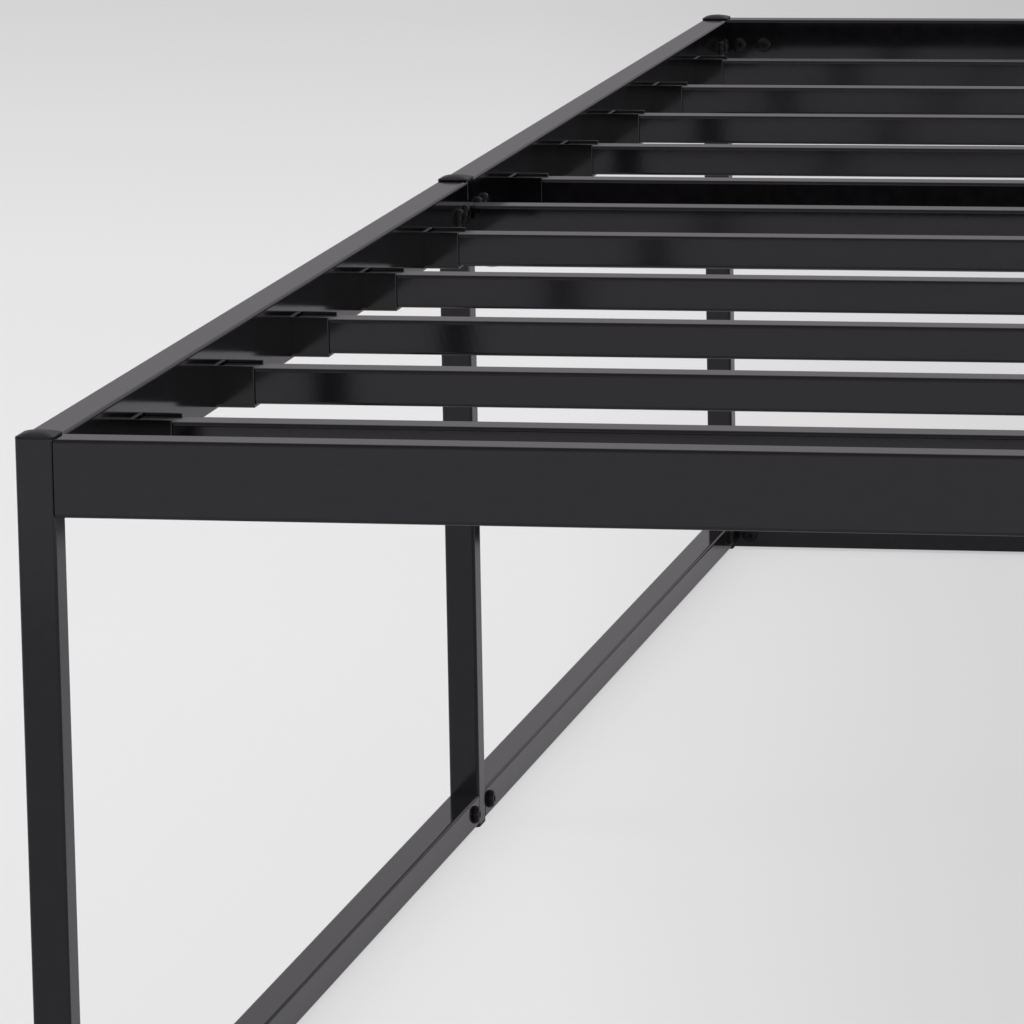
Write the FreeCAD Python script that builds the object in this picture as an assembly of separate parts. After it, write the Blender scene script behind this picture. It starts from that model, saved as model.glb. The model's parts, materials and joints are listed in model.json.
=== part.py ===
import FreeCAD, Part

import math
import os

# Metal platform bed frame of square steel tube, bolted together.
# Millimetres. X runs across the bed from left to right, Y along it from foot to head, Z is up.
# The origin is on the floor under the middle of the frame.

V = FreeCAD.Vector

# ---------------------------------------------------------------- driving dimensions

# The whole frame
length = 2032.0               # over the foot and head rails
width = 1930.0                # over the side rails
rail_top = 432.0              # top of the outer rails above the floor

# Tube sections
tube = 20.0                   # side of the square tube, and width of every rail
rail_depth = 40.0             # height of the outer rails, the center beam and the crossbars
wall = 1.2
corner_radius = 2.0           # outside corners of every tube
smallest_radius = 0.2         # inside corners of a very thick wall

# Slats, all set down inside the outer rails
slat_drop = 16.0              # slat tops below the rail tops
slats_per_half = 5            # on each side, in the foot half and in the head half
slat_to_middle = 135.0        # first slat's center line from the middle crossbar's
slat_to_end = 161.0           # last slat's center line from the outside of the end rail

# Plastic cradles that the slats' ends drop into from above
holder_length = 22.5
holder_wall = 1.85
holder_back = 2.0             # wall against the rail
holder_rim = 1.0              # tops of the walls above the slat's top
holder_radius = 2.2           # outside corners
holder_clearance = 0.15       # on each side of the slat and under it
slat_end_gap = 0.5            # from the slat's end to the cradle's back wall
peg_diameter = 5.8
peg_spacing = 11.0
peg_length = 5.0              # out of the back of the cradle
peg_chamfer = 0.8
peg_hole_clearance = 0.2      # on the diameter

# Plastic caps and feet in the legs' ends
plug_clearance = 0.2          # on each side of a plug
plug_wall = 2.0
plug_length = 14.0
cap_rim = 1.2                 # upright rim of a leg cap
cap_rise = 2.0                # crown of the cap above its rim
foot_flange = 2.0             # what the leg stands on

# Bracket plates welded to the legs inside the rails' ends
plate_thickness = 3.0
plate_gap = 0.2               # between the plate and the bolted wall
plate_edge_gap = 1.5          # between the plate and the walls at its edges
plate_margin = 12.0           # plate beyond the last bolt
rail_bolt_spots = (10.0, 30.0)    # from the leg's face
floor_rail_bolt_spots = (14.0,)
crossbar_bolt_spots = (14.0,)

# Bolts and weld nuts
bolt_diameter = 6.0
bolt_beyond_nut = 2.3
bolt_tip_chamfer = 0.6
wall_hole_clearance = 1.0     # on the diameter
plate_hole_clearance = 0.6
nut_bore_clearance = 0.1
head_diameter = 12.0
head_height = 3.3
head_rim = 1.0                # straight edge below the head's dome
head_flat = 6.6               # flat round the socket
socket_across_flats = 4.0
socket_depth = 2.0
nut_across_flats = 10.0
nut_height = 5.0

cut_margin = 1.0              # how far a cutting tool stands out of what it cuts

# ---------------------------------------------------------------- places worked out from them

half_tube = tube / 2
cavity_radius = max(corner_radius - wall, smallest_radius)

side_line = width / 2 - half_tube         # center line of the right side rail
end_line = length / 2 - half_tube         # center line of the head rail

slat_top = rail_top - slat_drop
slat_line = slat_top - tube / 2           # center height of the slats
rail_line = rail_top - rail_depth / 2
beam_line = slat_top - rail_depth / 2     # the center beam and crossbars end level with the slats
floor_rail_line = foot_flange + tube / 2

slat_pitch = (length / 2 - slat_to_middle - slat_to_end) / (slats_per_half - 1)

holder_bore = tube + 2 * holder_clearance
holder_outside = holder_bore + 2 * holder_wall
peg_hole = peg_diameter + peg_hole_clearance

bolt_length = wall + plate_gap + plate_thickness + nut_height + bolt_beyond_nut

cap_height = cap_rim + cap_rise


# ---------------------------------------------------------------- basic shapes

def at(axis, along, across, up):
    """Point at a distance along a piece's own axis, and across it. An upright piece's up is Y."""
    if axis == "X":
        return V(along, across, up)
    if axis == "Y":
        return V(across, along, up)
    return V(across, up, along)


def rounded_rectangle(place, size_u, size_v, radius):
    """Closed outline round the middle of a section, which place() puts in space."""
    arcs = []
    for quarter in range(4):
        turn = 90 * quarter + 45
        center_u = math.copysign(size_u / 2 - radius, math.cos(math.radians(turn)))
        center_v = math.copysign(size_v / 2 - radius, math.sin(math.radians(turn)))
        points = []
        for angle in (turn - 45, turn, turn + 45):
            u = center_u + radius * math.cos(math.radians(angle))
            v = center_v + radius * math.sin(math.radians(angle))
            points.append(place(u, v))
        arcs.append(points)
    edges = []
    for quarter, points in enumerate(arcs):
        edges.append(Part.Arc(*points).toShape())
        next_arc = arcs[(quarter + 1) % 4]
        edges.append(Part.LineSegment(points[2], next_arc[0]).toShape())
    return Part.Wire(edges)


def bar(axis, start, end, across, up, size_across, size_up, radius):
    """Solid bar of rounded rectangular section, from start to end along its axis."""
    def place(u, v):
        return at(axis, start, across + u, up + v)

    section = Part.Face(rounded_rectangle(place, size_across, size_up, radius))
    return section.extrude(at(axis, end - start, 0, 0))


def square_tube(axis, start, end, across, up, size_up=tube):
    """Steel tube, open at both ends."""
    outside = bar(axis, start, end, across, up, tube, size_up, corner_radius)
    low = min(start, end) - cut_margin
    high = max(start, end) + cut_margin
    bore_across = tube - 2 * wall
    bore_up = size_up - 2 * wall
    return outside.cut(bar(axis, low, high, across, up, bore_across, bore_up, cavity_radius))


def block(corner, opposite):
    """Box between two opposite corners."""
    low = V(min(corner.x, opposite.x), min(corner.y, opposite.y), min(corner.z, opposite.z))
    high = V(max(corner.x, opposite.x), max(corner.y, opposite.y), max(corner.z, opposite.z))
    size = high - low
    return Part.makeBox(size.x, size.y, size.z, low)


def hexagon(center, normal, flat_normal, across_flats, height):
    """Six-sided prism standing on center along normal, with one flat square to flat_normal."""
    sideways = normal.cross(flat_normal)
    corner = across_flats / math.sqrt(3)
    points = []
    for step in range(7):
        angle = math.radians(60 * step + 30)
        points.append(center + flat_normal * corner * math.cos(angle) + sideways * corner * math.sin(angle))
    return Part.Face(Part.makePolygon(points)).extrude(normal * height)


# ---------------------------------------------------------------- bolted rails

class Rail:
    """A straight tube between two legs, bolted to a plate on the leg at each end.

    out points out of the wall that the bolts go through, and spots are the bolts' distances
    from the leg's face.
    """

    def __init__(self, axis, start, end, across, up, size_up, out, spots):
        self.axis = axis
        self.start = start
        self.end = end
        self.across = across
        self.up = up
        self.size_up = size_up
        self.out = out
        self.spots = spots
        self.direction = at(axis, 1, 0, 0)
        if abs(out.z) > 0:
            self.to_wall = size_up / 2
            self.plate_across = tube
        else:
            self.to_wall = half_tube
            self.plate_across = size_up

    def ends(self):
        """The middle of the section at each leg, and the way from there into the rail."""
        first = at(self.axis, self.start, self.across, self.up)
        last = at(self.axis, self.end, self.across, self.up)
        return [(first, self.direction), (last, self.direction * -1)]

    def seats(self):
        """Where each bolt's axis leaves the outside of the rail."""
        points = []
        for middle, inward in self.ends():
            for spot in self.spots:
                points.append(middle + inward * spot + self.out * self.to_wall)
        return points

    def tube(self):
        shape = square_tube(self.axis, self.start, self.end, self.across, self.up, self.size_up)
        radius = (bolt_diameter + wall_hole_clearance) / 2
        for seat in self.seats():
            depth = wall + cut_margin + plate_gap
            shape = shape.cut(Part.makeCylinder(radius, depth, seat + self.out * cut_margin, self.out * -1))
        return shape

    def plates(self):
        sideways = self.direction.cross(self.out)
        height = self.plate_across - 2 * wall - 2 * plate_edge_gap
        outer = self.to_wall - wall - plate_gap
        inner = outer - plate_thickness
        radius = (bolt_diameter + plate_hole_clearance) / 2
        shapes = []
        for middle, inward in self.ends():
            near = middle + self.out * outer - sideways * (height / 2)
            far = middle + self.out * inner + sideways * (height / 2)
            plate = block(near, far + inward * (self.spots[-1] + plate_margin))
            for spot in self.spots:
                start = middle + inward * spot + self.out * (outer + cut_margin)
                depth = plate_thickness + 2 * cut_margin
                plate = plate.cut(Part.makeCylinder(radius, depth, start, self.out * -1))
            shapes.append(plate)
        return shapes

    def bolts(self):
        return [bolt(seat, self.out, self.direction) for seat in self.seats()]

    def nuts(self):
        depth = wall + plate_gap + plate_thickness
        return [weld_nut(seat - self.out * depth, self.out * -1, self.direction) for seat in self.seats()]


def bolt(seat, out, flat_normal):
    """Button-head bolt whose head sits on the rail at seat and whose shank runs in against out."""
    shank = bolt_diameter / 2
    head = head_diameter / 2
    flat = head_flat / 2
    dome = head_height - head_rim
    halfway = math.radians(45)

    def point(radius, height):
        return seat + flat_normal * radius + out * height

    corners = [
        point(flat, head_height),
        point(0, head_height),
        point(0, -bolt_length),
        point(shank - bolt_tip_chamfer, -bolt_length),
        point(shank, bolt_tip_chamfer - bolt_length),
        point(shank, 0),
        point(head, 0),
        point(head, head_rim),
    ]
    edges = []
    for first, second in zip(corners, corners[1:]):
        edges.append(Part.LineSegment(first, second).toShape())
    bulge = point(flat + (head - flat) * math.cos(halfway), head_rim + dome * math.sin(halfway))
    edges.append(Part.Arc(corners[-1], bulge, corners[0]).toShape())
    turned = Part.Face(Part.Wire(edges)).revolve(seat, out, 360)
    socket_floor = seat + out * (head_height - socket_depth)
    socket = hexagon(socket_floor, out, flat_normal, socket_across_flats, socket_depth + cut_margin)
    return turned.cut(socket)


def weld_nut(face, inward, flat_normal):
    """Hexagon nut welded to the back of a bracket plate."""
    nut = hexagon(face, inward, flat_normal, nut_across_flats, nut_height)
    radius = (bolt_diameter + nut_bore_clearance) / 2
    start = face - inward * cut_margin
    return nut.cut(Part.makeCylinder(radius, nut_height + 2 * cut_margin, start, inward))


# ---------------------------------------------------------------- legs, caps and feet

# Where the legs stand, as a name, the place along the frame, and the place across it
leg_rows = {"foot": -end_line, "middle": 0.0, "head": end_line}
leg_columns = {"left": -side_line, "center": 0.0, "right": side_line}


def leg_stations():
    """Name, x, y and tube top of each leg. The middle one ends under the slats' level."""
    stations = []
    for row, y in leg_rows.items():
        for column, x in leg_columns.items():
            top = rail_top
            if row == "middle" and column == "center":
                top = slat_top - cap_height
            stations.append((f"leg_{row}_{column}", x, y, top))
    return stations


def hollow_plug(x, y, start, end):
    """Square plug in a tube, from the tube's mouth at start to its open inner end."""
    size = tube - 2 * wall - 2 * plug_clearance
    outside = bar("Z", start, end, x, y, size, size, cavity_radius)
    inside_size = size - 2 * plug_wall
    beyond = end + math.copysign(cut_margin, end - start)
    return outside.cut(bar("Z", start, beyond, x, y, inside_size, inside_size, smallest_radius))


def pillow(x, y, z):
    """Shallow crown over a square, from a flat base at z."""
    surface = Part.BezierSurface()
    surface.increase(2, 2)
    for row in range(3):
        for column in range(3):
            pole_x = x + (row - 1) * half_tube
            pole_y = y + (column - 1) * half_tube
            # a biquadratic patch passes its middle at a quarter of the middle pole's height
            pole_z = z + 4 * cap_rise if (row, column) == (1, 1) else z
            surface.setPole(row + 1, column + 1, V(pole_x, pole_y, pole_z))
    crown = surface.toShape()
    base = Part.Face(Part.Wire(Part.sortEdges(crown.Edges)[0]))
    shell = Part.Shell([crown, base])
    shell.sewShape()
    return Part.Solid(shell)


def leg_cap(x, y, top):
    rim = bar("Z", top, top + cap_rim, x, y, tube, tube, corner_radius)
    outline = bar("Z", top + cap_rim, top + cap_height + cut_margin, x, y, tube, tube, corner_radius)
    crown = pillow(x, y, top + cap_rim).common(outline)
    plug = hollow_plug(x, y, top, top - plug_length)
    return rim.fuse([crown, plug]).removeSplitter()


def leg_foot(x, y):
    flange = bar("Z", 0, foot_flange, x, y, tube, tube, corner_radius)
    plug = hollow_plug(x, y, foot_flange, foot_flange + plug_length)
    return flange.fuse(plug).removeSplitter()


# ---------------------------------------------------------------- slats and their holders

def slat_lines():
    """The slats' places along the frame, from foot to head."""
    offsets = [slat_to_middle + slat_pitch * step for step in range(slats_per_half)]
    return [-offset for offset in reversed(offsets)] + offsets


def peg_points(y):
    """Where the two pegs of the holder at y lie, along the frame."""
    return [y - peg_spacing / 2, y + peg_spacing / 2]


def slat_holder(face_x, toward, y):
    """Cradle against a rail's face at face_x, open above and the way that toward (1 or -1) points."""
    mouth = face_x + toward * holder_length
    beyond = mouth + toward * cut_margin
    back = face_x + toward * holder_back
    half_bore = holder_bore / 2
    ceiling = slat_line + holder_outside / 2 + cut_margin
    cradle = bar("X", face_x, mouth, y, slat_line, holder_outside, holder_outside, holder_radius)
    bore_radius = max(holder_radius - holder_wall, smallest_radius)
    cradle = cradle.cut(bar("X", back, beyond, y, slat_line, holder_bore, holder_bore, bore_radius))
    cradle = cradle.cut(block(V(back, y - half_bore, slat_line), V(beyond, y + half_bore, ceiling)))
    rim_corner = V(face_x, y - holder_outside, slat_top + holder_rim)
    cradle = cradle.cut(block(rim_corner, V(mouth, y + holder_outside, ceiling)))
    pegs = []
    for peg_y in peg_points(y):
        root = V(face_x + toward * holder_back / 2, peg_y, slat_line)
        straight = peg_length - peg_chamfer + holder_back / 2
        radius = peg_diameter / 2
        into_rail = V(-toward, 0, 0)
        pegs.append(Part.makeCylinder(radius, straight, root, into_rail))
        tip = root + into_rail * straight
        pegs.append(Part.makeCone(radius, radius - peg_chamfer, peg_chamfer, tip, into_rail))
    return cradle.fuse(pegs).removeSplitter()


def with_peg_holes(shape, face_x, toward):
    """Bore a rail's wall for the pegs of every holder on that face."""
    start_x = face_x + toward * cut_margin
    for y in slat_lines():
        for peg_y in peg_points(y):
            start = V(start_x, peg_y, slat_line)
            hole = Part.makeCylinder(peg_hole / 2, wall + 2 * cut_margin, start, V(-toward, 0, 0))
            if hole.BoundBox.intersect(shape.BoundBox):
                shape = shape.cut(hole)
    return shape


# ---------------------------------------------------------------- the frame

nodes = {}
rails = {}
end_halves = {"foot": (-end_line + half_tube, -half_tube), "head": (half_tube, end_line - half_tube)}
side_halves = {"left": (-side_line + half_tube, -half_tube), "right": (half_tube, side_line - half_tube)}
sides = {"left": -1, "right": 1}
ends = {"foot": -1, "head": 1}

# Rails along the frame: outer rail, floor rail under it, and the center beam
for end, (start, stop) in end_halves.items():
    for side, sign in sides.items():
        inner = V(-sign, 0, 0)
        x = sign * side_line
        rails[f"side_rail_{side}_{end}"] = Rail(
            "Y", start, stop, x, rail_line, rail_depth, inner, rail_bolt_spots)
        rails[f"floor_rail_{side}_{end}"] = Rail(
            "Y", start, stop, x, floor_rail_line, tube, inner, floor_rail_bolt_spots)
    rails[f"center_beam_{end}"] = Rail(
        "Y", start, stop, 0, beam_line, rail_depth, V(-1, 0, 0), rail_bolt_spots)

# Rails across the frame: foot and head rails, the floor rails under them, and the crossbars
for side, (start, stop) in side_halves.items():
    for end, sign in ends.items():
        inner = V(0, -sign, 0)
        y = sign * end_line
        rails[f"{end}_rail_{side}"] = Rail(
            "X", start, stop, y, rail_line, rail_depth, inner, rail_bolt_spots)
        rails[f"floor_rail_{end}_{side}"] = Rail(
            "X", start, stop, y, floor_rail_line, tube, inner, floor_rail_bolt_spots)
    rails[f"crossbar_{side}"] = Rail(
        "X", start, stop, 0, beam_line, rail_depth, V(0, 0, -1), crossbar_bolt_spots)

for name, rail in rails.items():
    nodes[name] = rail.tube()

# Holes for the holders' pegs, in the side rails' inner walls and both walls of the center beam
for end in ends:
    beam = f"center_beam_{end}"
    for side, sign in sides.items():
        rail = f"side_rail_{side}_{end}"
        nodes[rail] = with_peg_holes(nodes[rail], sign * (side_line - half_tube), -sign)
        nodes[beam] = with_peg_holes(nodes[beam], sign * half_tube, sign)

# Legs with a cap on top and a foot below
caps = []
feet = []
for name, x, y, top in leg_stations():
    nodes[name] = square_tube("Z", foot_flange, top, x, y)
    caps.append(leg_cap(x, y, top))
    feet.append(leg_foot(x, y))
nodes["leg_caps"] = Part.makeCompound(caps)
nodes["leg_feet"] = Part.makeCompound(feet)

# Slats, each between a holder on the side rail and one on the center beam
for side, sign in sides.items():
    rail_face = sign * (side_line - half_tube)
    beam_face = sign * half_tube
    rail_holders = []
    beam_holders = []
    for number, y in enumerate(slat_lines(), start=1):
        start = rail_face - sign * (holder_back + slat_end_gap)
        stop = beam_face + sign * (holder_back + slat_end_gap)
        nodes[f"slat_{side}_{number:02d}"] = square_tube("X", start, stop, y, slat_line)
        rail_holders.append(slat_holder(rail_face, -sign, y))
        beam_holders.append(slat_holder(beam_face, sign, y))
    nodes[f"slat_holders_rail_{side}"] = Part.makeCompound(rail_holders)
    nodes[f"slat_holders_beam_{side}"] = Part.makeCompound(beam_holders)

# Bracket plates, nuts and bolts of every bolted end
plates = {"rail_brackets": [], "floor_rail_brackets": [], "crossbar_brackets": []}
bolts = []
nuts = []
for name, rail in rails.items():
    if name.startswith("floor_rail"):
        group = "floor_rail_brackets"
    elif name.startswith("crossbar"):
        group = "crossbar_brackets"
    else:
        group = "rail_brackets"
    plates[group] += rail.plates()
    bolts += rail.bolts()
    nuts += rail.nuts()
for group, shapes in plates.items():
    nodes[group] = Part.makeCompound(shapes)
nodes["bolts"] = Part.makeCompound(bolts)
nodes["weld_nuts"] = Part.makeCompound(nuts)

os.makedirs("parts", exist_ok=True)
for name, shape in nodes.items():
    shape.exportStep(os.path.join("parts", name + ".step"))
print(len(nodes), "parts,", sum(len(shape.Solids) for shape in nodes.values()), "solids")
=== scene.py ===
"""Looks of a black steel platform bed frame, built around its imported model. Metres, +Z up."""
import json
import math

import bmesh
import bpy
from mathutils import Matrix, Vector


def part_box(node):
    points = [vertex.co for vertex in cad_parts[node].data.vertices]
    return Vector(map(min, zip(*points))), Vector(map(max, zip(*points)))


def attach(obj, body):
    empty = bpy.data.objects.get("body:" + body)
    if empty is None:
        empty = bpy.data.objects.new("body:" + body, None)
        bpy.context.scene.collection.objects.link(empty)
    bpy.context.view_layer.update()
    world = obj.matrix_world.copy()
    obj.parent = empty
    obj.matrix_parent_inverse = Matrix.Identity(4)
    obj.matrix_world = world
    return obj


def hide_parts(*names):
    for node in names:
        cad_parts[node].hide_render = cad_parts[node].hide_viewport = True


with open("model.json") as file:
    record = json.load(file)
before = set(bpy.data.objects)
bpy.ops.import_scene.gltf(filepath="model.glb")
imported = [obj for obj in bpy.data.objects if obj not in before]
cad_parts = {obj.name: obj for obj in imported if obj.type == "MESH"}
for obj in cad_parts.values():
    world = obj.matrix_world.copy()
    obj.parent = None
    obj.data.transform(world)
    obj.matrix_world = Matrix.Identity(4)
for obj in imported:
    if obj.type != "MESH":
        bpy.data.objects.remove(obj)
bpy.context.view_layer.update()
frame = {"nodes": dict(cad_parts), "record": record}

MM = 0.001
BODY = "root"

# ---------------------------------------------------------------- sizes of the small pieces

TUBE_CORNER = 2.0 * MM          # outside corner radius of every steel tube
CORNER_STEPS = 6                # segments in a rounded corner

CAP_RIM = 1.2 * MM              # upright rim of a leg cap
CAP_EDGE = 0.35 * MM            # rounding where the rim turns into the crown
CAP_EDGE_STEP = 30              # degrees between the rings of that rounding
CROWN_STEPS = 9
CROWN_POWER = 2.2               # how flat the crown is before it falls off
CROWN_ROUNDING = 0.18           # corner radius at its edge, as a share of half its width
CROWN_ROUNDING_GAIN = 0.8       # and how much that share gains towards the middle

FOOT_FLANGE = 2.0 * MM
FOOT_EDGE = 0.4 * MM
FOOT_DISH = 0.4 * MM            # hollow in the underside
FOOT_DISH_FLOOR = 0.55          # widths of the hollow, as shares of the tube's
FOOT_DISH_RIM = 0.62

CRADLE_LENGTH = 22.5 * MM
CRADLE_WALL = 1.85 * MM
CRADLE_BACK = 1.2 * MM          # wall against the rail
CRADLE_RIM = 1.5 * MM           # tops of the walls above the slat
CRADLE_CORNER = 2.2 * MM        # outside corners along the bottom
CRADLE_EDGE = 0.25 * MM         # rounding of the walls' tops
CRADLE_MOUTH = 0.6 * MM         # rounding of the mouth
LEAST_EDGE = 0.05 * MM          # what is left of the tops' rounding at the mouth
CRADLE_CLEARANCE = 0.15 * MM    # on each side of the slat
CRADLE_INSIDE_CORNER = 0.35 * MM

HEAD_RADIUS = 6.0 * MM
HEAD_HEIGHT = 3.3 * MM
HEAD_RIM = 1.0 * MM
HEAD_BASE_EDGE = 0.15 * MM      # chamfer where the head meets the rail
HEAD_RIM_DROP = 0.2 * MM        # chamfer where the rim meets the dome
HEAD_RIM_STEP = 0.1 * MM
DOME_STEPS = 8
SOCKET_FLATS = 4.0 * MM
SOCKET_DEPTH = 2.0 * MM
SOCKET_LAND = 0.95 * MM         # flat ring round the socket
SOCKET_LIP = 0.12 * MM          # chamfer at the socket's mouth
SOCKET_LIP_DEPTH = 0.15 * MM
SOCKET_CONE = 0.25 * MM         # drill cone in the socket's floor
LOW_HEAD_HEIGHT = 0.8 * MM      # flat heads under the crossbars
LOW_HEAD_RIM = 0.5 * MM
LOW_SOCKET_DEPTH = 0.5 * MM
BOLT_STEPS = 48
CRISP_ANGLE = 38                # degrees past which a bolt's edge stays sharp
RAIL_BOLT_SPOTS = (10.0 * MM, 30.0 * MM)
SINGLE_BOLT_SPOTS = (14.0 * MM,)
BOLTED_KINDS = ("side_rail", "floor_rail", "foot_rail", "head_rail", "center_beam", "crossbar")

# ---------------------------------------------------------------- light in the room

# Room brightness by height, from the floor's far edge (0) to straight up (1)
FRONT_LEVELS = ((0.0, 0.66), (0.1, 0.66), (0.5, 0.45), (1.0, 0.26))
BACK_LEVELS = ((0.0, 0.16), (0.165, 0.36), (0.4, 0.36), (1.0, 0.26))
ROOM_TINT = (1.0, 0.955, 1.02)  # faint purple cast of what glossy pieces mirror

FLOOR_SIZE = 240
FLOOR_TONES = ((0.195, 0.195, 0.193), (0.205, 0.205, 0.203))

# The floor's glow is a pool of light on the left of a line of sight from here, x and y
POOL_ORIGIN = (-0.07, -4.09)
POOL_EDGE = (-0.205, -0.13)     # x over y from there, inside the pool's edge and outside it
POOL_GLOW = (0.605, 0.5)        # glow inside the pool and outside it
FAR_FALL = (2.5, 5.2)           # y where the glow starts and stops falling towards the far end
FAR_GLOW = 0.83                 # share of the glow that is left there

# Changes to the glow in what glossy pieces mirror, as (start, end, change) along y or x: painted reflection,
# with painted shade near the foot end and under the frame and a painted bright patch on the far right
NEAR_FOOT_PAINTED_SHADE = (-3.0, -2.6, -0.42)
UNDER_FRAME_PAINTED_SHADE = (-1.1, -0.9, -0.2)
UNDER_FRAME_SIDE = (-0.975, -0.965)
FAR_RIGHT_PAINTED_REFLECTION = (1.0, 1.4, 2.0)

nodes = frame["nodes"]


# ---------------------------------------------------------------- materials

def effect_group(name, inputs, output_kinds):
    """Empty shader group with float inputs, and its entry and exit nodes."""
    group = bpy.data.node_groups.new(name, "ShaderNodeTree")
    for socket, value in inputs.items():
        made = group.interface.new_socket(name=socket, in_out="INPUT", socket_type="NodeSocketFloat")
        made.default_value = value
    for socket, kind in output_kinds.items():
        group.interface.new_socket(name=socket, in_out="OUTPUT", socket_type=kind)
    entry = group.nodes.new("NodeGroupInput")
    leave = group.nodes.new("NodeGroupOutput")
    return group, entry, leave


def add_node(tree, kind, **settings):
    """Shader node with its plain settings, or the default values of its named inputs."""
    node = tree.nodes.new(kind)
    for key, value in settings.items():
        if hasattr(node, key):
            setattr(node, key, value)
        else:
            node.inputs[key].default_value = value
    return node


def noise(tree, coordinates, scale, detail=2.0, roughness=0.5):
    """Noise value between 0 and 1 at object coordinates. scale is a number or a socket."""
    texture = add_node(tree, "ShaderNodeTexNoise", Detail=detail, Roughness=roughness)
    tree.links.new(coordinates, texture.inputs["Vector"])
    if isinstance(scale, (int, float)):
        texture.inputs["Scale"].default_value = scale
    else:
        tree.links.new(scale, texture.inputs["Scale"])
    return texture.outputs["Fac"]


def math_node(tree, operation, first, second):
    """Result of a two-input sum, each input a number or a socket."""
    node = tree.nodes.new("ShaderNodeMath")
    node.operation = operation
    for index, value in enumerate((first, second)):
        if isinstance(value, (int, float)):
            node.inputs[index].default_value = value
        else:
            tree.links.new(value, node.inputs[index])
    return node.outputs[0]


def spread(tree, value, low, high, to_low, to_high):
    """Value taken from one range to another, and held inside it."""
    node = add_node(tree, "ShaderNodeMapRange", clamp=True)
    for socket, number in (("From Min", low), ("From Max", high), ("To Min", to_low), ("To Max", to_high)):
        if isinstance(number, (int, float)):
            node.inputs[socket].default_value = number
        else:
            tree.links.new(number, node.inputs[socket])
    tree.links.new(value, node.inputs["Value"])
    return node.outputs["Result"]


def make_skin_height():
    """Height of a sprayed or moulded skin: a fine grain on a long, shallow waviness."""
    inputs = {"Grain Scale": 450.0, "Grain": 0.7, "Wave Scale": 14.0, "Wave": 0.3}
    group, entry, leave = effect_group("skin_height", inputs, {"Height": "NodeSocketFloat"})
    place = group.nodes.new("ShaderNodeTexCoord").outputs["Object"]
    grain = noise(group, place, entry.outputs["Grain Scale"], detail=1.5)
    wave = noise(group, place, entry.outputs["Wave Scale"], detail=0.5)
    grain = math_node(group, "MULTIPLY", grain, entry.outputs["Grain"])
    wave = math_node(group, "MULTIPLY", wave, entry.outputs["Wave"])
    group.links.new(math_node(group, "ADD", grain, wave), leave.inputs["Height"])
    return group


def make_mottle():
    """Slow, cloudy variation between 0 and 1, for tone and gloss."""
    inputs = {"Scale": 9.0, "Contrast": 0.5}
    group, entry, leave = effect_group("mottle", inputs, {"Value": "NodeSocketFloat"})
    place = group.nodes.new("ShaderNodeTexCoord").outputs["Object"]
    cloud = noise(group, place, entry.outputs["Scale"], detail=3.0, roughness=0.6)
    half = math_node(group, "MULTIPLY", entry.outputs["Contrast"], 0.5)
    low = math_node(group, "SUBTRACT", 0.5, half)
    high = math_node(group, "ADD", 0.5, half)
    group.links.new(spread(group, cloud, 0.3, 0.7, low, high), leave.inputs["Value"])
    return group


def make_edge_rub():
    """Mask of outside corners, broken up, where a coat is thinnest and hands rub it."""
    inputs = {"Sharpness": 0.035, "Amount": 0.5}
    group, entry, leave = effect_group("edge_rub", inputs, {"Mask": "NodeSocketFloat"})
    place = group.nodes.new("ShaderNodeTexCoord").outputs["Object"]
    bend = group.nodes.new("ShaderNodeNewGeometry").outputs["Pointiness"]
    limit = math_node(group, "ADD", entry.outputs["Sharpness"], 0.5)
    corner = spread(group, bend, 0.5, limit, 0.0, 1.0)
    broken = spread(group, noise(group, place, 120.0, detail=4.0), 0.35, 0.65, 0.25, 1.0)
    mask = math_node(group, "MULTIPLY", corner, broken)
    group.links.new(math_node(group, "MULTIPLY", mask, entry.outputs["Amount"]), leave.inputs["Mask"])
    return group


def make_settled_dust():
    """Mask of a thin, uneven film of dust on faces that look up."""
    inputs = {"Amount": 0.2, "Scale": 260.0}
    group, entry, leave = effect_group("settled_dust", inputs, {"Mask": "NodeSocketFloat"})
    place = group.nodes.new("ShaderNodeTexCoord").outputs["Object"]
    normal = group.nodes.new("ShaderNodeNewGeometry").outputs["Normal"]
    split = group.nodes.new("ShaderNodeSeparateXYZ")
    group.links.new(normal, split.inputs[0])
    upward = spread(group, split.outputs["Z"], 0.75, 0.98, 0.0, 1.0)
    specks = spread(group, noise(group, place, entry.outputs["Scale"], detail=5.0), 0.42, 0.72, 0.35, 1.0)
    drift = spread(group, noise(group, place, 5.0, detail=2.0), 0.3, 0.7, 0.5, 1.0)
    mask = math_node(group, "MULTIPLY", upward, math_node(group, "MULTIPLY", specks, drift))
    group.links.new(math_node(group, "MULTIPLY", mask, entry.outputs["Amount"]), leave.inputs["Mask"])
    return group


skin_height = make_skin_height()
mottle = make_mottle()
edge_rub = make_edge_rub()
settled_dust = make_settled_dust()


def place_group(tree, group, **values):
    """A shared effect put in a material with that material's own values."""
    node = tree.nodes.new("ShaderNodeGroup")
    node.node_tree = group
    for key, value in values.items():
        node.inputs[key.replace("_", " ")].default_value = value
    return node.outputs[0]


def blend_colors(tree, mask, first, second):
    """Color between two, each an RGB triple or a socket."""
    node = add_node(tree, "ShaderNodeMix", data_type="RGBA")
    tree.links.new(mask, node.inputs["Factor"])
    for socket, color in ((node.inputs[6], first), (node.inputs[7], second)):
        if isinstance(color, tuple):
            socket.default_value = (*color, 1.0)
        else:
            tree.links.new(color, socket)
    return node.outputs[2]


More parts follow.
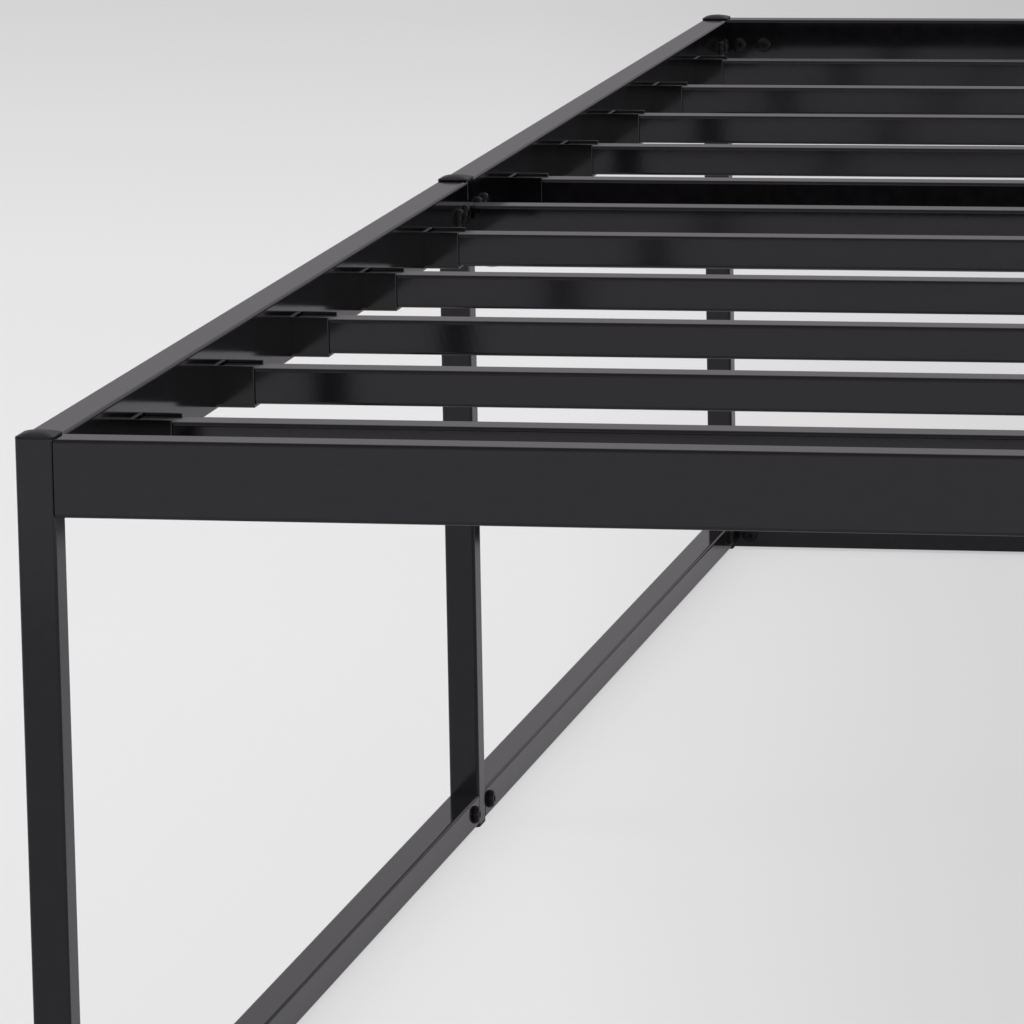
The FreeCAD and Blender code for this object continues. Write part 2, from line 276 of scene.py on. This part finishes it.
def finish_material(name, dark, light, rough, rub, dust, skin, relief, ior=1.5, tint=(1.0, 1.0, 1.0)):
    """Opaque finish: mottled tone and gloss, rubbed corners, dust on top, and a skin in relief.

    rough is the range of roughness, rub and dust are (amount, color), skin is the grain's values,
    relief is the height of the skin in metres, and tint colors what is mirrored.
    """
    material = bpy.data.materials.new(name)
    material.use_nodes = True
    tree = material.node_tree
    shader = tree.nodes["Principled BSDF"]
    shader.inputs["IOR"].default_value = ior
    shader.inputs["Specular Tint"].default_value = (*tint, 1.0)
    cloud = place_group(tree, mottle, Scale=7.0, Contrast=1.0)
    corner = place_group(tree, edge_rub, Amount=rub[0])
    film = place_group(tree, settled_dust, Amount=dust[0])
    tone = blend_colors(tree, cloud, dark, light)
    tone = blend_colors(tree, corner, tone, rub[1])
    tone = blend_colors(tree, film, tone, dust[1])
    tree.links.new(tone, shader.inputs["Base Color"])
    gloss = spread(tree, cloud, 0.0, 1.0, rough[0], rough[1])
    gloss = math_node(tree, "ADD", gloss, math_node(tree, "MULTIPLY", film, 0.5))
    tree.links.new(gloss, shader.inputs["Roughness"])
    bump = add_node(tree, "ShaderNodeBump", Strength=1.0, Distance=relief)
    tree.links.new(place_group(tree, skin_height, **skin), bump.inputs["Height"])
    tree.links.new(bump.outputs["Normal"], shader.inputs["Normal"])
    return material


powder_coat = finish_material(
    "black_powder_coat", (0.0014, 0.0013, 0.0015), (0.0024, 0.0022, 0.0025), (0.085, 0.12),
    rub=(0.25, (0.012, 0.0115, 0.012)), dust=(0.012, (0.35, 0.34, 0.33)),
    skin={"Grain_Scale": 480.0, "Grain": 0.6, "Wave_Scale": 12.0, "Wave": 0.4}, relief=0.000012,
    ior=1.48, tint=(1.0, 1.0, 1.05))

cradle_plastic = finish_material(
    "black_cradle_plastic", (0.0018, 0.0018, 0.0019), (0.003, 0.003, 0.0031), (0.09, 0.13),
    rub=(0.1, (0.012, 0.012, 0.0125)), dust=(0.003, (0.35, 0.34, 0.33)),
    skin={"Grain_Scale": 2600.0, "Grain": 0.8, "Wave_Scale": 60.0, "Wave": 0.2}, relief=0.000004, ior=1.45)

satin_plastic = finish_material(
    "black_cap_plastic", (0.006, 0.006, 0.0064), (0.009, 0.009, 0.0094), (0.28, 0.34),
    rub=(0.25, (0.03, 0.03, 0.031)), dust=(0.015, (0.35, 0.34, 0.33)),
    skin={"Grain_Scale": 2600.0, "Grain": 0.9, "Wave_Scale": 60.0, "Wave": 0.1}, relief=0.000012, ior=1.35)

black_oxide = finish_material(
    "black_oxide_steel", (0.0025, 0.0025, 0.0028), (0.005, 0.0048, 0.0048), (0.2, 0.28),
    rub=(0.3, (0.03, 0.029, 0.028)), dust=(0.006, (0.3, 0.3, 0.3)),
    skin={"Grain_Scale": 1500.0, "Grain": 0.8, "Wave_Scale": 90.0, "Wave": 0.2}, relief=0.000008, ior=1.27)


# ---------------------------------------------------------------- mesh building

def rounded_section(width, height, radius, steps=CORNER_STEPS):
    """Points round a rectangle with rounded corners, anticlockwise."""
    points = []
    for quarter in range(4):
        middle = math.radians(90 * quarter + 45)
        center_a = math.copysign(width / 2 - radius, math.cos(middle))
        center_b = math.copysign(height / 2 - radius, math.sin(middle))
        for step in range(steps + 1):
            angle = math.radians(90 * (quarter + step / steps))
            points.append((center_a + radius * math.cos(angle), center_b + radius * math.sin(angle)))
    return points


def skin_rings(mesh, rings, close_first=False, close_last=False):
    """Add quads between rings of points to a bmesh, and faces over its two ends if asked."""
    made = [[mesh.verts.new(point) for point in ring] for ring in rings]
    for lower, upper in zip(made, made[1:]):
        for index in range(len(lower)):
            after = (index + 1) % len(lower)
            mesh.faces.new((lower[index], lower[after], upper[after], upper[index]))
    if close_first:
        mesh.faces.new(list(reversed(made[0])))
    if close_last:
        mesh.faces.new(made[-1])
    return made


def finish_piece(name, mesh, material, replaced):
    """Turn a bmesh into a smooth, shaded piece that stands for a CAD node."""
    bmesh.ops.recalc_face_normals(mesh, faces=mesh.faces)
    data = bpy.data.meshes.new(name)
    mesh.to_mesh(data)
    mesh.free()
    data.polygons.foreach_set("use_smooth", [True] * len(data.polygons))
    piece = bpy.data.objects.new(name, data)
    bpy.context.scene.collection.objects.link(piece)
    data.materials.append(material)
    weighted = piece.modifiers.new("flat faces stay flat", "WEIGHTED_NORMAL")
    weighted.weight = 100
    weighted.keep_sharp = True
    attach(piece, BODY)
    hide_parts(replaced)
    return piece


# ---------------------------------------------------------------- leg caps and feet

LEG_ROWS = ("foot", "middle", "head")
LEG_COLUMNS = ("left", "center", "right")
leg_names = [f"leg_{row}_{column}" for row in LEG_ROWS for column in LEG_COLUMNS]
slat_names = {}
for side in ("left", "right"):
    slat_names[side] = sorted(name for name in nodes if name.startswith(f"slat_{side}_"))
tube_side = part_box("leg_foot_left")[1].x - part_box("leg_foot_left")[0].x


def square_ring(center, size, radius, z):
    """Ring of points round an upright square section, at a height."""
    return [Vector((center.x + a, center.y + b, z)) for a, b in rounded_section(size, size, radius)]


def build_leg_caps():
    """Plastic caps: a short rim, a rounded edge and a low pillow."""
    mesh = bmesh.new()
    crown_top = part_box("leg_caps")[1].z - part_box("leg_foot_left")[1].z
    rise = crown_top - CAP_RIM
    for name in leg_names:
        low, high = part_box(name)
        center = (low + high) / 2
        top = high.z
        rings = [square_ring(center, tube_side, TUBE_CORNER, top)]
        for step in range(4):
            turn = math.radians(CAP_EDGE_STEP * step)
            inset = CAP_EDGE * (1 - math.cos(turn))
            height = CAP_RIM - CAP_EDGE + CAP_EDGE * math.sin(turn)
            rings.append(square_ring(center, tube_side - 2 * inset, TUBE_CORNER - inset, top + height))
        crown_size = tube_side - 2 * CAP_EDGE
        for step in range(1, CROWN_STEPS):
            share = 1 - step / CROWN_STEPS
            size = crown_size * share
            radius = size / 2 * (CROWN_ROUNDING + CROWN_ROUNDING_GAIN * (1 - share))
            height = CAP_RIM + rise * (1 - share ** CROWN_POWER)
            rings.append(square_ring(center, size, radius, top + height))
        skin_rings(mesh, rings, close_first=True, close_last=True)
    finish_piece("leg_cap_crowns", mesh, satin_plastic, "leg_caps")


def build_leg_feet():
    """Plastic feet: a flange with a broken edge under each tube, dished a little below."""
    mesh = bmesh.new()
    floor_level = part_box("leg_feet")[0].z
    for name in leg_names:
        low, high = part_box(name)
        center = (low + high) / 2
        rings = [
            square_ring(center, tube_side * FOOT_DISH_FLOOR, TUBE_CORNER, floor_level + FOOT_DISH),
            square_ring(center, tube_side * FOOT_DISH_RIM, TUBE_CORNER, floor_level),
            square_ring(center, tube_side - 2 * FOOT_EDGE, TUBE_CORNER - FOOT_EDGE, floor_level),
            square_ring(center, tube_side - 0.6 * FOOT_EDGE, TUBE_CORNER, floor_level + 0.3 * FOOT_EDGE),
            square_ring(center, tube_side, TUBE_CORNER, floor_level + FOOT_EDGE),
            square_ring(center, tube_side, TUBE_CORNER, floor_level + FOOT_FLANGE),
        ]
        skin_rings(mesh, rings, close_first=True, close_last=True)
    finish_piece("leg_foot_flanges", mesh, satin_plastic, "leg_feet")


# ---------------------------------------------------------------- slat cradles

def arc_points(center_a, center_b, radius, first, last, steps=3):
    """Points on an arc between two angles in degrees."""
    points = []
    for step in range(steps + 1):
        angle = math.radians(first + (last - first) * step / steps)
        points.append((center_a + radius * math.cos(angle), center_b + radius * math.sin(angle)))
    return points


def cradle_walls(inset):
    """Outside of a cradle's section, from the top of one side wall round the bottom to the other."""
    side = tube_side / 2 + CRADLE_CLEARANCE + CRADLE_WALL - inset
    rim = tube_side / 2 + CRADLE_RIM - inset
    edge = max(CRADLE_EDGE - 0.8 * inset, LEAST_EDGE)
    corner = CRADLE_CORNER - inset
    points = arc_points(edge - side, rim - edge, edge, 90, 180)
    points += arc_points(corner - side, corner - side, corner, 180, 270, CORNER_STEPS)
    points += arc_points(side - corner, corner - side, corner, 270, 360, CORNER_STEPS)
    points += arc_points(side - edge, rim - edge, edge, 0, 90)
    return points


def cradle_trough(inset):
    """Inside of a cradle's section, which the slat drops into, back to where the outside starts."""
    side = tube_side / 2 + CRADLE_CLEARANCE + inset
    rim = tube_side / 2 + CRADLE_RIM - inset
    edge = max(CRADLE_EDGE - 0.8 * inset, LEAST_EDGE)
    corner = CRADLE_INSIDE_CORNER
    points = arc_points(side + edge, rim - edge, edge, 90, 180)
    points += arc_points(side - corner, corner - side, corner, 0, -90)
    points += arc_points(corner - side, corner - side, corner, 270, 180)
    points += arc_points(-side - edge, rim - edge, edge, 0, 90)
    return points


def cradle_top(inset):
    """Flat top of the wall against the rail, with as many points as the trough."""
    count = len(cradle_trough(0))
    reach = tube_side / 2 + CRADLE_CLEARANCE + CRADLE_EDGE
    rim = tube_side / 2 + CRADLE_RIM - inset
    return [(reach * (1 - 2 * step / (count - 1)), rim) for step in range(count)]


def build_cradle(mesh, face_x, toward, center):
    """Plastic cradle against a rail's face, open above and the way toward points."""
    back = CRADLE_BACK - CRADLE_EDGE
    mouth = CRADLE_LENGTH - CRADLE_MOUTH
    sections = [(0, cradle_walls(0) + cradle_top(0))]
    for turn in (0, 30, 60, 90):
        angle = math.radians(turn)
        drop = CRADLE_EDGE * (1 - math.cos(angle))
        sections.append((back + CRADLE_EDGE * math.sin(angle), cradle_walls(0) + cradle_top(drop)))
    sections.append((CRADLE_BACK, cradle_walls(0) + cradle_trough(0)))
    for turn in (0, 30, 60, 90):
        angle = math.radians(turn)
        inset = CRADLE_MOUTH * (1 - math.cos(angle))
        sections.append((mouth + CRADLE_MOUTH * math.sin(angle), cradle_walls(inset) + cradle_trough(inset)))
    rings = []
    for out, section in sections:
        x = face_x + toward * out
        rings.append([Vector((x, center.y + a, center.z + b)) for a, b in section])
    against_rail = skin_rings(mesh, rings, close_first=True, close_last=True)[0]
    for first, second in zip(against_rail, against_rail[1:] + against_rail[:1]):
        mesh.edges.get((first, second)).smooth = False


def build_cradles():
    """All cradles of each holder node, one at every slat's end."""
    for side, sign in (("left", -1), ("right", 1)):
        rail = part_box(f"side_rail_{side}_foot")
        rail_face = rail[1].x if sign < 0 else rail[0].x
        for beside, face_x, toward in (("rail", rail_face, -sign), ("beam", sign * tube_side / 2, sign)):
            node = f"slat_holders_{beside}_{side}"
            mesh = bmesh.new()
            for slat in slat_names[side]:
                low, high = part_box(slat)
                build_cradle(mesh, face_x, toward, (low + high) / 2)
            finish_piece(f"{node}_cradles", mesh, cradle_plastic, node)


# ---------------------------------------------------------------- bolts

def bolt_outline(top, rim, depth):
    """Radius, height over the rail's face and whether the ring is the hexagon, from rim to socket floor."""
    shoulder = HEAD_RADIUS - HEAD_RIM_STEP
    outline = [(HEAD_RADIUS - HEAD_BASE_EDGE, 0.0, False), (HEAD_RADIUS, HEAD_BASE_EDGE, False)]
    outline += [(HEAD_RADIUS, rim - HEAD_RIM_DROP, False), (shoulder, rim, False)]
    flat = SOCKET_FLATS / 2 + SOCKET_LAND
    for step in range(1, DOME_STEPS + 1):
        turn = math.radians(90 * step / DOME_STEPS)
        radius = flat + (shoulder - flat) * math.cos(turn)
        height = rim + (top - rim) * math.sin(turn)
        outline.append((radius, height, False))
    outline.append((SOCKET_FLATS / 2 + SOCKET_LIP, top, True))
    outline.append((SOCKET_FLATS / 2, top - SOCKET_LIP_DEPTH, True))
    outline.append((SOCKET_FLATS / 2, top - depth, True))
    outline.append((SOCKET_FLATS / 4, top - depth - SOCKET_CONE, False))
    return outline


def build_bolt_head(mesh, seat, out):
    """Head with a hexagon socket, sitting on a rail's face: a button, or flat under a crossbar."""
    if abs(out.z) < 0.5:
        side = Vector((0, 0, 1))
        outline = bolt_outline(HEAD_HEIGHT, HEAD_RIM, SOCKET_DEPTH)
    else:
        side = Vector((1, 0, 0))
        outline = bolt_outline(LOW_HEAD_HEIGHT, LOW_HEAD_RIM, LOW_SOCKET_DEPTH)
    other = out.cross(side)
    rings = []
    for radius, height, hexagonal in outline:
        ring = []
        for step in range(BOLT_STEPS):
            turn = 2 * math.pi * step / BOLT_STEPS
            reach = radius
            if hexagonal:
                reach = radius / math.cos((turn % (math.pi / 3)) - math.pi / 6)
            ring.append(seat + out * height + (side * math.cos(turn) + other * math.sin(turn)) * reach)
        rings.append(ring)
    skin_rings(mesh, rings, close_first=True, close_last=True)


def bolt_seats():
    """Seat and outward direction of every bolt, found from the rails' boxes."""
    seats = []
    for name in nodes:
        if not name.startswith(BOLTED_KINDS) or name.endswith("brackets"):
            continue
        low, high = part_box(name)
        center = (low + high) / 2
        along = 0 if high.x - low.x > high.y - low.y else 1
        across = 1 - along
        spots = SINGLE_BOLT_SPOTS if name.startswith(("floor_rail", "crossbar")) else RAIL_BOLT_SPOTS
        out = Vector((0, 0, 0))
        if name.startswith("crossbar"):
            out.z = -1
            reach = (high.z - low.z) / 2
        else:
            out[across] = -1 if center[across] > -0.001 else 1
            reach = (high[across] - low[across]) / 2
        for spot in spots:
            for place in (low[along] + spot, high[along] - spot):
                seat = center + out * reach
                seat[along] = place
                seats.append((seat, out))
    return seats


def build_bolts():
    """Heads of all bolts, as one piece with crisp sockets."""
    mesh = bmesh.new()
    for seat, out in bolt_seats():
        build_bolt_head(mesh, seat, out)
    piece = finish_piece("bolt_heads", mesh, black_oxide, "bolts")
    piece.modifiers.clear()
    edges = piece.modifiers.new("crisp socket", "EDGE_SPLIT")
    edges.split_angle = math.radians(CRISP_ANGLE)
    edges.use_edge_sharp = False


# ---------------------------------------------------------------- floor, light and camera

def change_along(tree, place, change):
    """Share by which the mirrored glow changes along x or y, from none at the start of a stretch."""
    start, end, amount = change
    return spread(tree, place, start, end, 0.0, amount)


def floor_glow(tree, across, along):
    """The floor's glow by place: a pool of light on the left that falls off towards the far end."""
    aside = math_node(tree, "ADD", across, -POOL_ORIGIN[0])
    ahead = math_node(tree, "ADD", along, -POOL_ORIGIN[1])
    pool = spread(tree, math_node(tree, "DIVIDE", aside, ahead), *POOL_EDGE, *POOL_GLOW)
    return math_node(tree, "MULTIPLY", pool, spread(tree, along, *FAR_FALL, 1.0, FAR_GLOW))


def painted_reflection_change(tree, across, along):
    """Dimmer near the foot end and under the frame, and brighter on the far right: painted shade and a
    painted bright patch in what glossy pieces mirror of the floor.
    """
    near_foot = change_along(tree, along, NEAR_FOOT_PAINTED_SHADE)
    inside = spread(tree, across, *UNDER_FRAME_SIDE, 0.0, 1.0)
    under = math_node(tree, "MULTIPLY", inside, change_along(tree, along, UNDER_FRAME_PAINTED_SHADE))
    on_right = change_along(tree, across, FAR_RIGHT_PAINTED_REFLECTION)
    return math_node(tree, "ADD", near_foot, math_node(tree, "ADD", under, on_right))


def build_floor():
    """Pale floor that mostly glows, so that little shadow shows on it, and whose glow glossy rays see
    changed, as painted reflection and painted shade.
    """
    material = bpy.data.materials.new("pale_floor")
    material.use_nodes = True
    tree = material.node_tree
    shader = tree.nodes["Principled BSDF"]
    shader.inputs["Roughness"].default_value = 0.9
    shader.inputs["Specular IOR Level"].default_value = 0.1
    cloud = place_group(tree, mottle, Scale=0.6, Contrast=1.0)
    tree.links.new(blend_colors(tree, cloud, *FLOOR_TONES), shader.inputs["Base Color"])
    split = tree.nodes.new("ShaderNodeSeparateXYZ")
    tree.links.new(tree.nodes.new("ShaderNodeTexCoord").outputs["Object"], split.inputs[0])
    across, along = split.outputs["X"], split.outputs["Y"]
    glow = floor_glow(tree, across, along)
    change = painted_reflection_change(tree, across, along)
    # Glossy rays see the floor's glow changed and given the room's purple cast: a painted reflection, with
    # painted shade and a painted bright patch
    mirrored = tree.nodes.new("ShaderNodeLightPath").outputs["Is Glossy Ray"]
    share = math_node(tree, "ADD", 1.0, math_node(tree, "MULTIPLY", mirrored, change))
    tree.links.new(blend_colors(tree, mirrored, (1.0, 1.0, 1.0), ROOM_TINT), shader.inputs["Emission Color"])
    tree.links.new(math_node(tree, "MULTIPLY", glow, share), shader.inputs["Emission Strength"])
    bpy.ops.mesh.primitive_plane_add(size=FLOOR_SIZE, location=(0, 0, 0))
    floor = bpy.context.object
    floor.name = "floor"
    floor.data.materials.append(material)


def ramp_by_height(tree, height, stops):
    """Light of the room at a height from 0, level, to 1, straight up, with its faint cast."""
    ramp = tree.nodes.new("ShaderNodeValToRGB")
    elements = ramp.color_ramp.elements
    while len(elements) < len(stops):
        elements.new(0.5)
    for element, (level, brightness) in zip(elements, stops):
        element.position = level
        element.color = (*(brightness * share for share in ROOM_TINT), 1)
    tree.links.new(height, ramp.inputs["Fac"])
    return ramp.outputs["Color"]


def build_world():
    """Studio room: a bright wall of light in front of the foot end, a dim far end, and grey above."""
    world = bpy.data.worlds.new("studio_room")
    bpy.context.scene.world = world
    world.use_nodes = True
    tree = world.node_tree
    split = tree.nodes.new("ShaderNodeSeparateXYZ")
    tree.links.new(tree.nodes.new("ShaderNodeTexCoord").outputs["Generated"], split.inputs[0])
    front = ramp_by_height(tree, split.outputs["Z"], FRONT_LEVELS)
    back = ramp_by_height(tree, split.outputs["Z"], BACK_LEVELS)
    toward_foot = spread(tree, split.outputs["Y"], 0.35, -0.35, 0.0, 1.0)
    room = blend_colors(tree, toward_foot, back, front)
    background = tree.nodes["Background"]
    tree.links.new(room, background.inputs["Color"])
    background.inputs["Strength"].default_value = 1.0


def soft_light(name, place, target, size, power, seen_in_gloss):
    """Rectangular lamp at a place, aimed at a target. Its power is in watts."""
    light = bpy.data.lights.new(name, "AREA")
    light.shape = "RECTANGLE"
    light.size = size[0]
    light.size_y = size[1]
    light.energy = power
    lamp = bpy.data.objects.new(name, light)
    bpy.context.scene.collection.objects.link(lamp)
    lamp.location = place
    aim = Vector(target) - Vector(place)
    lamp.rotation_euler = aim.to_track_quat("-Z", "Y").to_euler()
    lamp.visible_glossy = seen_in_gloss


def build_lights():
    """Even light from above and the left, and a box of light low on the right that the gloss mirrors."""
    soft_light("overhead", (-0.8, -0.6, 5.5), (0, 0.2, 0), (7, 7), 200, False)
    soft_light("far_left_overhead", (-5.2, 5.0, 4.0), (-4.6, 4.8, 0), (3, 3), 75, False)
    soft_light("left_fill", (-4.5, -0.6, 1.6), (-0.6, -0.4, 0), (3.0, 2.4), 90, False)
    soft_light("right_softbox", (6.0, -1.2, 0.6), (0, 0, 0.3), (2.0, 1.6), 45, True)


def build_camera():
    """Long lens near the bed's center line, looking down to the left at the foot corner."""
    place = Vector((-0.0724, -4.0874, 0.9682))
    turn_left = math.radians(11.734)
    look_down = math.radians(10.273)
    roll = math.radians(-1.039)
    ahead = Vector((-math.sin(turn_left) * math.cos(look_down), math.cos(turn_left) * math.cos(look_down),
                    -math.sin(look_down)))
    right = ahead.cross(Vector((0, 0, 1))).normalized()
    up = right.cross(ahead)
    tilted_right = right * math.cos(roll) + up * math.sin(roll)
    tilted_up = up * math.cos(roll) - right * math.sin(roll)
    data = bpy.data.cameras.new("camera")
    data.lens = 226.39
    data.sensor_width = 36
    data.clip_start = 0.05
    data.clip_end = 500
    camera = bpy.data.objects.new("camera", data)
    bpy.context.scene.collection.objects.link(camera)
    basis = Matrix((tilted_right, tilted_up, -ahead)).transposed()
    camera.matrix_world = Matrix.Translation(place) @ basis.to_4x4()
    bpy.context.scene.camera = camera


# ---------------------------------------------------------------- build the scene

CAD_FINISHES = {
    "black_powder_coat": powder_coat,
    "black_plastic": satin_plastic,
    "black_fasteners": black_oxide,
}
for entry in frame["record"]["subparts"]:
    node = nodes[entry["node"]]
    node.data.materials.clear()
    node.data.materials.append(CAD_FINISHES[entry["material_slot"]])

build_camera()
build_leg_caps()
build_leg_feet()
build_cradles()
build_bolts()
build_floor()
build_world()
build_lights()
bpy.context.scene.view_settings.view_transform = "Standard"
